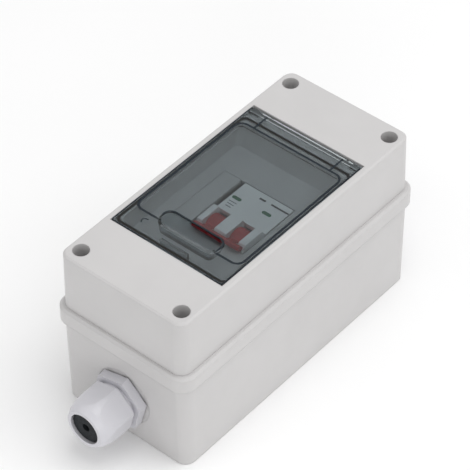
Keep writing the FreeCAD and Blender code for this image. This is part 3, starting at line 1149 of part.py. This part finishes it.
def build_moving_contact(side, middle):
    """The arm turns on its hub; at rest it stands open."""
    half = "contact_width / 2"
    hub = rod(f"{side}_hub", "contact_hub", "contact_width", (f"{middle} - {half}", "contact_y", "contact_z"), "X")
    open_angle = "contact_open * 1 deg"
    rise = "contact_thickness / 2"
    arm = block(f"{side}_arm", ("contact_width", "contact_arm", "contact_thickness"),
                (f"{middle} - {half}", f"contact_y + {rise} * sin({open_angle})",
                 f"contact_z - {rise} * cos({open_angle})"), (Vector(1, 0, 0), work_out("contact_open")))
    bind(arm, "Placement.Rotation.Angle", open_angle)
    bore = rod(f"{side}_contact_bore", "contact_pin_radius + running_gap", "pole_width",
               (f"{middle} - pole_width / 2", "contact_y", "contact_z"), "X")
    keep(cut(f"{side}_contact_cut", fuse(f"{side}_contact_blank", [hub, arm]), [bore]), f"{side}_moving_contact")


def build_chute(side, left):
    """Upright steel plates held between two cheeks."""
    count = round(work_out("chute_plates"))
    inner_left = f"({left} + case_wall + 0.3)"
    width = "(pole_tray - case_wall - 0.6)"
    start = "(contact_y + chute_start)"
    bottom = "(rail_z + case_wall)"
    pieces = [block(f"{side}_chute_plate_{index}", (width, "chute_plate", "chute_height"),
                    (inner_left, f"{start} + {index} * chute_pitch", bottom)) for index in range(count)]
    for index, x in enumerate((inner_left, f"{inner_left} + {width} - chute_cheek")):
        pieces.append(block(f"{side}_chute_cheek_{index}", ("chute_cheek", "chute_span", "chute_height"),
                            (x, start, bottom)))
    keep(fuse(f"{side}_chute", pieces), f"{side}_arc_chute")


def build_clip(side, left):
    """Sprung slide that grips the rail's near lip."""
    x = f"({left} + (pole_width - clip_width) / 2)"
    far = "(switch_y - rail_width / 2 + hook_reach)"
    near = "(switch_y - case_length / 2 - clip_tail)"
    top = "(rail_z - rail_sheet - hook_gap - clip_gap)"
    plate = block(f"{side}_clip_plate", ("clip_width", f"{far} - {near}", "clip_thickness"),
                  (x, near, f"{top} - clip_thickness"))
    slot = block(f"{side}_clip_slot", ("clip_slot", "1.6", "clip_thickness + 2"),
                 (f"{x} + (clip_width - clip_slot) / 2", f"{near} + 2", f"{top} - clip_thickness - 1"))
    keep(cut(f"{side}_clip_cut", plate, [slot]), f"{side}_rail_clip")


def pole_lefts():
    return (("left", "switch_left"), ("right", "(switch_left + pole_width)"))


def build_clamps(label, sign):
    """Cage clamps of both poles at one end."""
    cages = []
    for side, left in pole_lefts():
        x = f"({left} + pole_middle - clamp_width / 2)"
        y = f"(switch_y {sign} clamp_offset - clamp_length / 2)"
        z = "(rail_z + clamp_bottom)"
        cage = block(f"{label}_{side}_cage", ("clamp_width", "clamp_length", "clamp_height"), (x, y, z))
        hole = block(f"{label}_{side}_window",
                     ("clamp_width - 2 * clamp_wall", "clamp_length + 2", "clamp_height - clamp_wall - clamp_head"),
                     (f"{x} + clamp_wall", f"{y} - 1", f"{z} + clamp_wall"))
        thread = rod(f"{label}_{side}_thread", "terminal_screw_radius + thread_gap", "clamp_height",
                     (f"{x} + clamp_width / 2", f"{y} + clamp_length / 2", f"{z} + clamp_height - clamp_head - 1"))
        cages.append(cut(f"{label}_{side}_clamp", cage, [hole, thread]))
    group(label, cages)


def build_terminal_screws():
    screws = []
    for side, left in pole_lefts():
        for sign, end in (("-", "load"), ("+", "line")):
            tongue_top = "(rail_z + strap_height + strap_thickness)"
            length = "(shoulder_height - 3 * case_wall - terminal_screw_head_height - strap_height - strap_thickness)"
            screws.append(build_screw(f"{side}_{end}_screw", f"({left} + pole_middle)", f"(switch_y {sign} clamp_offset)",
                                      f"({tongue_top} + {length})", "terminal_screw_head",
                                      "terminal_screw_head_height", "terminal_screw_radius", length))
    group("terminal_screws", screws)


def build_pins():
    """Toggle and contact pins of both poles, and the rivets through the whole case."""
    for label, radius, y, z in (("toggle_pins", "toggle_pin_radius", "toggle_y", "toggle_z"),
                                ("contact_pins", "contact_pin_radius", "contact_y", "contact_z")):
        pins = [rod(f"{label}_{side}", radius, "pole_tray - case_wall / 2 + pole_cover / 2 - 0.1",
                    (f"{left} + case_wall / 2 + 0.05", y, z), "X") for side, left in pole_lefts()]
        group(label, pins)
    rivets = [rod(f"rivet_{index}", "rivet_radius", "2 * pole_width", ("switch_left", y, z), "X")
              for index, (y, z) in enumerate(rivet_places())]
    group("case_rivets", rivets)


def check_and_write():
    """Stop on any failed object, then write each piece to its own file."""
    DOC.recompute()
    for item in DOC.Objects:
        if "Invalid" in item.State or "Error" in item.State:
            raise RuntimeError(f"{item.Label} failed: {item.State}")
    for item in NODES:
        if item.Shape.isNull() or not item.Shape.isValid() or not item.Shape.Solids:
            raise RuntimeError(f"{item.Label} has no valid solid")
    os.makedirs("parts", exist_ok=True)
    for item in NODES:
        item.Shape.exportStep(f"parts/{item.Label}.step")
        box = item.Shape.BoundBox
        print(f"{item.Label:24s} {len(item.Shape.Solids)} {item.Shape.Volume:10.1f} "
              f"x {box.XMin:7.2f} {box.XMax:7.2f} y {box.YMin:7.2f} {box.YMax:7.2f} z {box.ZMin:7.2f} {box.ZMax:7.2f}")


fill_sheet()
build_base()
build_gasket()
build_lid()
build_seal()
build_cover()
build_lid_screws()
build_rail()
build_blank()
for gland_end in ("near", "far"):
    build_gland(gland_end)
for pole_side, pole_left in pole_lefts():
    build_pole(pole_side, pole_left)
build_tie_bar()
build_clamps("load_clamps", "-")
build_clamps("line_clamps", "+")
build_terminal_screws()
build_pins()
check_and_write()
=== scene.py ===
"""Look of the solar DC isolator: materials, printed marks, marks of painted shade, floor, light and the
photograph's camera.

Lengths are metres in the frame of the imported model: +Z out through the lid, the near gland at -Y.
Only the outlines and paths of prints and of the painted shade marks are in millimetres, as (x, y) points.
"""
import bmesh
import bpy
import math
from mathutils import Matrix, Vector


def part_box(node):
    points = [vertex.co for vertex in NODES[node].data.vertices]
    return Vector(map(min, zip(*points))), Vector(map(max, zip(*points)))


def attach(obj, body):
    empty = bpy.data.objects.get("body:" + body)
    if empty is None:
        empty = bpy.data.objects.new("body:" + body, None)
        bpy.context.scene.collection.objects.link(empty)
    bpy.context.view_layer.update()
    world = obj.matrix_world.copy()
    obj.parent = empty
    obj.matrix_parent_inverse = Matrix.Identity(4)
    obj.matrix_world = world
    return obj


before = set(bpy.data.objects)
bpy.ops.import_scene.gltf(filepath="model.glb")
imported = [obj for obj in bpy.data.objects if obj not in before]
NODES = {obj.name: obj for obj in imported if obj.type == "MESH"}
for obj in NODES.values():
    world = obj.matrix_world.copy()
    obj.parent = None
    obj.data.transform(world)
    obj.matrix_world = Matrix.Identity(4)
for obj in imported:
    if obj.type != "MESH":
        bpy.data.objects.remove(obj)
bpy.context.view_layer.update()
MM = 0.001
ENDS = ("near", "far")
POLES = ("left", "right")
NOISE_LOW, NOISE_HIGH = 0.3, 0.7  # nearly all values of a noise lie between these
BEVEL_SAMPLES = 6


# Nodes for materials

def new_material(name):
    """A material with nothing but its shader and output."""
    material = bpy.data.materials.new(name)
    material.use_nodes = True
    tree = material.node_tree
    tree.nodes.clear()
    output = tree.nodes.new("ShaderNodeOutputMaterial")
    shader = tree.nodes.new("ShaderNodeBsdfPrincipled")
    tree.links.new(shader.outputs["BSDF"], output.inputs["Surface"])
    return material, tree, shader


def noise(tree, scale, detail=3.0, roughness=0.5, stretch=None):
    """Noise in object space, in cells per metre; stretch scales the three axes."""
    place = tree.nodes.new("ShaderNodeTexCoord").outputs["Object"]
    if stretch:
        mapping = tree.nodes.new("ShaderNodeMapping")
        mapping.inputs["Scale"].default_value = stretch
        tree.links.new(place, mapping.inputs["Vector"])
        place = mapping.outputs["Vector"]
    texture = tree.nodes.new("ShaderNodeTexNoise")
    texture.inputs["Scale"].default_value = scale
    texture.inputs["Detail"].default_value = detail
    texture.inputs["Roughness"].default_value = roughness
    tree.links.new(place, texture.inputs["Vector"])
    return texture.outputs["Fac"]


def tint(tree, shader, pattern, colour, dark, light):
    """Base colour by a noise pattern, from colour times dark to colour times light."""
    ramp = tree.nodes.new("ShaderNodeValToRGB")
    for element, place, factor in zip(ramp.color_ramp.elements, (NOISE_LOW, NOISE_HIGH), (dark, light)):
        element.position = place
        element.color = (*(min(1.0, channel * factor) for channel in colour), 1)
    tree.links.new(pattern, ramp.inputs["Fac"])
    tree.links.new(ramp.outputs["Color"], shader.inputs["Base Color"])


def gloss(tree, shader, pattern, low, high):
    """Roughness from low to high, by a noise pattern."""
    remap = tree.nodes.new("ShaderNodeMapRange")
    remap.inputs["From Min"].default_value = NOISE_LOW
    remap.inputs["From Max"].default_value = NOISE_HIGH
    remap.inputs["To Min"].default_value = low
    remap.inputs["To Max"].default_value = high
    tree.links.new(pattern, remap.inputs["Value"])
    tree.links.new(remap.outputs["Result"], shader.inputs["Roughness"])


def roughen(tree, shader, bumps, bevel=0.0):
    """Bumps of (noise, strength, depth in metres), on edges softened by bevel."""
    normal = None
    if bevel:
        soft = tree.nodes.new("ShaderNodeBevel")
        soft.samples = BEVEL_SAMPLES
        soft.inputs["Radius"].default_value = bevel
        normal = soft.outputs["Normal"]
    for height, strength, depth in bumps:
        bump = tree.nodes.new("ShaderNodeBump")
        bump.inputs["Strength"].default_value = strength
        bump.inputs["Distance"].default_value = depth
        tree.links.new(height, bump.inputs["Height"])
        if normal:
            tree.links.new(normal, bump.inputs["Normal"])
        normal = bump.outputs["Normal"]
    tree.links.new(normal, shader.inputs["Normal"])


def moulded_plastic(name, colour, rough, bevel, grain=2600.0, grain_depth=0.02 * MM, specular=0.45):
    """Injection-moulded plastic: faint cloudiness, fine spark texture and slow waviness."""
    material, tree, shader = new_material(name)
    clouds = noise(tree, scale=35.0, detail=4.0, roughness=0.55)
    patches = noise(tree, scale=160.0, detail=5.0, roughness=0.6)
    spark = noise(tree, scale=grain, detail=2.0)
    waves = noise(tree, scale=22.0, detail=2.0)
    tint(tree, shader, clouds, colour, dark=0.975, light=1.015)
    gloss(tree, shader, patches, low=rough - 0.04, high=rough + 0.05)
    shader.inputs["Specular IOR Level"].default_value = specular
    roughen(tree, shader, [(spark, 0.35, grain_depth), (waves, 0.12, 0.4 * MM)], bevel)
    return material


def rubber(name, colour):
    """Dull rubber with a fine grain."""
    material, tree, shader = new_material(name)
    grain = noise(tree, scale=3500.0, detail=2.0)
    tint(tree, shader, noise(tree, scale=300.0), colour, dark=0.8, light=1.3)
    gloss(tree, shader, noise(tree, scale=900.0), low=0.55, high=0.75)
    shader.inputs["Specular IOR Level"].default_value = 0.25
    roughen(tree, shader, [(grain, 0.4, 0.03 * MM)], bevel=0.2 * MM)
    return material


def metal(name, colour, rough, stretch=None):
    """Plated or bare metal with fine scratches, along one axis where stretch says so."""
    material, tree, shader = new_material(name)
    scratches = noise(tree, scale=900.0, detail=4.0, roughness=0.6, stretch=stretch)
    tint(tree, shader, noise(tree, scale=120.0, detail=4.0), colour, dark=0.86, light=1.08)
    gloss(tree, shader, scratches, low=rough - 0.08, high=rough + 0.12)
    shader.inputs["Metallic"].default_value = 1.0
    roughen(tree, shader, [(scratches, 0.25, 0.01 * MM)], bevel=0.1 * MM)
    return material


def smoked_plastic(name, colour, rough):
    """Clear smoked polycarbonate with a gloss on top."""
    material, tree, shader = new_material(name)
    tint(tree, shader, noise(tree, scale=60.0), colour, dark=0.98, light=1.02)
    gloss(tree, shader, noise(tree, scale=400.0, detail=4.0), low=rough * 0.7, high=rough * 1.3)
    shader.inputs["Transmission Weight"].default_value = 1.0
    shader.inputs["IOR"].default_value = 1.5
    return material


def printed(name, colour, specular=0.5):
    """Ink printed on the case, or a dark line of painted shade on the cover."""
    material, tree, shader = new_material(name)
    tint(tree, shader, noise(tree, scale=2500.0), colour, dark=0.85, light=1.15)
    gloss(tree, shader, noise(tree, scale=1500.0), low=0.45, high=0.6)
    shader.inputs["Specular IOR Level"].default_value = specular
    roughen(tree, shader, [(noise(tree, scale=5000.0), 0.2, 0.01 * MM)])
    return material


HOUSING = moulded_plastic("housing_plastic", (0.57, 0.56, 0.558), rough=0.33, bevel=0.9 * MM,
                          grain_depth=0.0015 * MM, specular=0.5)
GLAND = moulded_plastic("gland_plastic", (0.60, 0.595, 0.63), rough=0.33, bevel=0.5 * MM, grain=1800.0)
CASE = moulded_plastic("case_plastic", (0.9, 0.9, 0.9), rough=0.4, bevel=0.3 * MM)
TOGGLE = moulded_plastic("toggle_plastic", (0.45, 0.015, 0.022), rough=0.3, bevel=0.4 * MM)
CLIP = moulded_plastic("clip_plastic", (0.05, 0.05, 0.052), rough=0.45, bevel=0.2 * MM)
RUBBER = rubber("black_rubber", (0.012, 0.014, 0.017))
COVER = smoked_plastic("smoked_cover", (0.56, 0.61, 0.63), rough=0.03)
ZINC = metal("zinc_plated", (0.58, 0.58, 0.57), rough=0.34, stretch=(1.0, 0.05, 1.0))
SCREW = metal("screw_steel", (0.55, 0.55, 0.55), rough=0.28)
BRASSY = metal("yellow_zinc", (0.62, 0.55, 0.36), rough=0.32)
COPPER = metal("contact_copper", (0.75, 0.38, 0.24), rough=0.3, stretch=(0.05, 1.0, 1.0))
PLAIN_STEEL = metal("plain_steel", (0.42, 0.42, 0.43), rough=0.36)
BLACK_INK = printed("black_ink", (0.02, 0.02, 0.022))
GREEN_INK = printed("green_ink", (0.02, 0.16, 0.07))
GREY_INK = printed("grey_ink", (0.16, 0.17, 0.18))
# Painted shade: dark lines on the clear cover where its steps, slits and edge gap look dark
STEP_SHADE = printed("painted_step_shade", (0.02, 0.026, 0.033), specular=0.1)

MATERIALS = {
    "base_box": HOUSING, "lid": HOUSING, "blanking_strip": HOUSING, "window_seal": HOUSING,
    "lid_gasket": RUBBER, "window_cover": COVER, "din_rail": ZINC, "toggle_tie_bar": TOGGLE,
    "lid_screws": SCREW, "rail_screws": SCREW, "toggle_pins": SCREW, "contact_pins": SCREW,
    "load_clamps": BRASSY, "line_clamps": BRASSY, "terminal_screws": BRASSY, "case_rivets": PLAIN_STEEL,
}
for end in ENDS:
    MATERIALS[f"{end}_gland_seal"] = RUBBER
    for piece in ("body", "locknut", "cap", "washer"):
        MATERIALS[f"{end}_gland_{piece}"] = GLAND
for pole in POLES:
    MATERIALS[f"{pole}_toggle"] = TOGGLE
    MATERIALS[f"{pole}_arc_chute"] = PLAIN_STEEL
    MATERIALS[f"{pole}_rail_clip"] = CLIP
    for piece in ("pole_case", "pole_cover"):
        MATERIALS[f"{pole}_{piece}"] = CASE
    for piece in ("fixed_contact", "load_strap", "moving_contact"):
        MATERIALS[f"{pole}_{piece}"] = COPPER

for node, thing in NODES.items():
    if not thing.material_slots:
        thing.data.materials.append(None)
    for slot in thing.material_slots:
        slot.link = "OBJECT"
        slot.material = MATERIALS[node]


# Thin prints and marks of painted shade, their outlines and paths in millimetres

PRINT_SINK = 0.02 * MM  # how far a print reaches into the face it lies on
MARK_RISE = 0.04 * MM
LINE_RISE = 0.03 * MM


def round_corner(x, y, radius, start, end, steps=8):
    """Points that round off the corner at (x, y), on an arc from start to end in degrees."""
    middle = math.radians((start + end) / 2)
    centre_x = x - math.copysign(radius, math.cos(middle))
    centre_y = y - math.copysign(radius, math.sin(middle))
    points = []
    for step in range(steps + 1):
        angle = math.radians(start + (end - start) * step / steps)
        points.append((centre_x + radius * math.cos(angle), centre_y + radius * math.sin(angle)))
    return points


def bar_outline(x, y, width, length, radius=0.0):
    """A bar about (x, y), its corners rounded where a radius is given."""
    low_x, high_x = x - width / 2, x + width / 2
    low_y, high_y = y - length / 2, y + length / 2
    if not radius:
        return [(low_x, low_y), (high_x, low_y), (high_x, high_y), (low_x, high_y)]
    corners = ((high_x, high_y), (low_x, high_y), (low_x, low_y), (high_x, low_y))
    points = []
    for index, (corner_x, corner_y) in enumerate(corners):
        points += round_corner(corner_x, corner_y, radius, 90 * index, 90 * (index + 1), steps=6)
    return points


def cross_outline(x, y, reach, half):
    """A plus sign about (x, y), its arms as long as reach and twice half wide."""
    corners = ((half, half), (half, reach), (-half, reach), (-half, half), (-reach, half), (-reach, -half),
               (-half, -half), (-half, -reach), (half, -reach), (half, -half), (reach, -half), (reach, half))
    return [(x + across, y + along) for across, along in corners]


def strip_outline(path, width):
    """The outline of a strip of the given width along an open path."""
    left, right = [], []
    for index, (x, y) in enumerate(path):
        before = path[max(index - 1, 0)]
        after = path[min(index + 1, len(path) - 1)]
        run_x, run_y = after[0] - before[0], after[1] - before[1]
        size = math.hypot(run_x, run_y)
        side_x, side_y = -run_y / size * width / 2, run_x / size * width / 2
        left.append((x + side_x, y + side_y))
        right.append((x - side_x, y - side_y))
    return left + right[::-1]


def add_print(name, outline, faces, height, rise, material):
    """A flat prism on a face at the given height; faces lists the corners of each piece of its top."""
    mesh = bmesh.new()
    bottom = [mesh.verts.new((x * MM, y * MM, height - PRINT_SINK)) for x, y in outline]
    top = [mesh.verts.new((x * MM, y * MM, height + rise)) for x, y in outline]
    for corners in faces:
        mesh.faces.new([top[corner] for corner in corners])
        mesh.faces.new([bottom[corner] for corner in reversed(corners)])
    for index in range(len(outline)):
        after = (index + 1) % len(outline)
        mesh.faces.new((bottom[index], bottom[after], top[after], top[index]))
    bmesh.ops.recalc_face_normals(mesh, faces=mesh.faces)
    data = bpy.data.meshes.new(name)
    mesh.to_mesh(data)
    mesh.free()
    data.materials.append(material)
    piece = bpy.data.objects.new(name, data)
    bpy.context.scene.collection.objects.link(piece)
    return piece


def flat_mark(name, outline, height, material):
    """A mark on a face of the housing or of what is fixed in it."""
    piece = add_print(name, outline, [range(len(outline))], height, MARK_RISE, material)
    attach(piece, "housing")


def strip_mark(name, path, width):
    """A dark line of painted shade along a path on the top face of the cover, in short straight pieces."""
    outline = strip_outline(path, width)
    last = len(outline) - 1
    quads = [(index, index + 1, last - index - 1, last - index) for index in range(len(path) - 1)]
    piece = add_print(name, outline, quads, cover_top, LINE_RISE, STEP_SHADE)
    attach(piece, "window_cover")


# Marks on the switch front

GUARD_RISE = 4.0 * MM  # the toggle guard stands this much above the label
label_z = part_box("left_pole_case")[1][2] - GUARD_RISE
flat_mark("mark_dash", bar_outline(x=6.5, y=13.9, width=4.5, length=1.4), label_z, BLACK_INK)
flat_mark("mark_line", bar_outline(x=19.2, y=14.0, width=13.0, length=1.3), label_z, BLACK_INK)
for side, x, y in (("left", -5.8, 5.4), ("right", 15.6, 6.4)):
    flat_mark(f"mark_green_{side}", bar_outline(x, y, width=6.5, length=2.5, radius=1.2), label_z, GREEN_INK)
for row in range(3):
    bar = bar_outline(x=-5.6, y=1.6 - 2.2 * row, width=5.6 - 0.9 * row, length=0.6)
    flat_mark(f"mark_grey_{row}", bar, label_z, GREY_INK)


# Painted shade on the smoked cover: dark lines where its steps look dark, round the pane, beside the hinge,
# round the scoop, along the edge, at a stop

cover_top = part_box("lid")[1][2]
pane_x, pane_near, pane_far, pane_radius, pane_break = 38.6, -45.6, 47.4, 5.6, 22.2
pane_path = [
    (-pane_break, pane_near),
    *round_corner(-pane_x, pane_near, pane_radius, 270, 180),
    *round_corner(-pane_x, pane_far, pane_radius, 180, 90),
    *round_corner(pane_x, pane_far, pane_radius, 90, 0),
    *round_corner(pane_x, pane_near, pane_radius, 0, -90),
    (pane_break, pane_near),
]
strip_mark("step_line_pane", pane_path, width=1.4)

slit_x, slit_near, slit_far = 28.3, pane_far + 0.5, pane_far + 12.0
for side, x in (("left", -slit_x), ("right", slit_x)):
    strip_mark(f"painted_step_shade_{side}_slit", [(x, slit_near), (x, slit_far)], width=1.3)

scoop_x, scoop_near, scoop_far, scoop_radius = 21.4, -46.4, -35.0, 5.2
left_end, right_end = scoop_near + scoop_radius, scoop_near + 1.5
scoop_path = [
    (-scoop_x, left_end),
    *round_corner(-scoop_x, scoop_far, scoop_radius, 180, 90),
    *round_corner(scoop_x, scoop_far, scoop_radius, 90, 0),
    (scoop_x, right_end),
]
strip_mark("step_line_scoop", scoop_path, width=1.1)

edge_x, edge_near, edge_far, edge_radius = 40.8, -62.4, 59.8, 1.5
edge_path = [
    (-edge_x, edge_far),
    *round_corner(-edge_x, edge_near, edge_radius, 180, 270),
    *round_corner(edge_x, edge_near, edge_radius, 270, 360),
    (edge_x, edge_far),
]
strip_mark("step_line_edge", edge_path, width=0.7)

stop_path = [(-26.3, -53.7), (-27.3, -52.4), (-27.3, -50.8), (-26.2, -49.9), (-24.4, -49.6)]
strip_mark("step_line_stop", stop_path, width=0.9)


# Painted shade of the cross recesses in the heads of the lid screws: flat dark crosses

screws_low, screws_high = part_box("lid_screws")
head_radius = 3.7
for end, y in (("near", screws_low[1]), ("far", screws_high[1])):
    for side, x in (("left", screws_low[0]), ("right", screws_high[0])):
        centre_x = x / MM - math.copysign(head_radius, x)
        centre_y = y / MM - math.copysign(head_radius, y)
        cross = cross_outline(centre_x, centre_y, reach=2.0, half=0.4)
        # Painted shade: a flat dark cross in clip plastic stands for the shaded recess
        flat_mark(f"painted_recess_shade_{end}_{side}", cross, screws_high[2], CLIP)


# Camera, floor and light

AIM = Vector((0, 0, 0.06))  # what the lamps point at, half way up the box


def add_camera():
    """The photograph's camera, solved from the edges of the box."""
    right = Vector((0.7631, 0.6463, -0.0072))
    up = Vector((-0.4474, 0.5361, 0.7160))
    place = Vector((0.7327, -0.8562, 1.1797))
    turn = Matrix((right, up, right.cross(up))).transposed()
    camera = bpy.data.cameras.new("photo_camera")
    camera.sensor_width = 36.0
    camera.lens = 208.5
    camera.clip_start = 0.05
    camera.clip_end = 20.0
    holder = bpy.data.objects.new("photo_camera", camera)
    holder.matrix_world = Matrix.Translation(place) @ turn.to_4x4()
    bpy.context.scene.collection.objects.link(holder)
    bpy.context.scene.camera = holder


def add_floor():
    """A wide pale floor that shows white behind the object and still takes its shadow."""
    data = bpy.data.meshes.new("studio_floor")
    half, drop = 4.0, 0.2 * MM
    corners = [(-half, -half, 0), (half, -half, 0), (half, half, 0), (-half, half, 0)]
    data.from_pydata(corners, [], [(0, 1, 2, 3)])
    floor = bpy.data.objects.new("studio_floor", data)
    floor.location.z = -drop
    bpy.context.scene.collection.objects.link(floor)
    material, tree, shader = new_material("floor_paint")
    tint(tree, shader, noise(tree, scale=3.0), (1.0, 1.0, 1.0), dark=0.93, light=0.95)
    shader.inputs["Roughness"].default_value = 0.9
    shader.inputs["Specular IOR Level"].default_value = 0.1
    data.materials.append(material)


def add_softbox(name, place, size, power):
    """A square lamp that points at the object."""
    lamp = bpy.data.lights.new(name, "AREA")
    lamp.shape = "RECTANGLE"
    lamp.size = lamp.size_y = size
    lamp.energy = power
    holder = bpy.data.objects.new(name, lamp)
    holder.location = place
    holder.rotation_euler = (AIM - Vector(place)).to_track_quat("-Z", "Y").to_euler()
    bpy.context.scene.collection.objects.link(holder)


def add_world(strength):
    """An even white sky."""
    world = bpy.data.worlds.new("studio")
    world.use_nodes = True
    sky = world.node_tree.nodes["Background"]
    sky.inputs["Color"].default_value = (1, 1, 1, 1)
    sky.inputs["Strength"].default_value = strength
    bpy.context.scene.world = world


add_camera()
add_floor()
add_world(strength=0.63)
add_softbox("top_softbox", (0.3, 0.2, 1.8), size=1.2, power=12.5)
add_softbox("corner_softbox", (1.3, -1.4, 0.6), size=1.2, power=6.5)
add_softbox("left_softbox", (-0.7, -1.15, 1.4), size=0.8, power=1.5)
add_softbox("right_softbox", (1.15, 0.85, 1.4), size=0.9, power=4.5)
bpy.context.scene.view_settings.view_transform = "Standard"
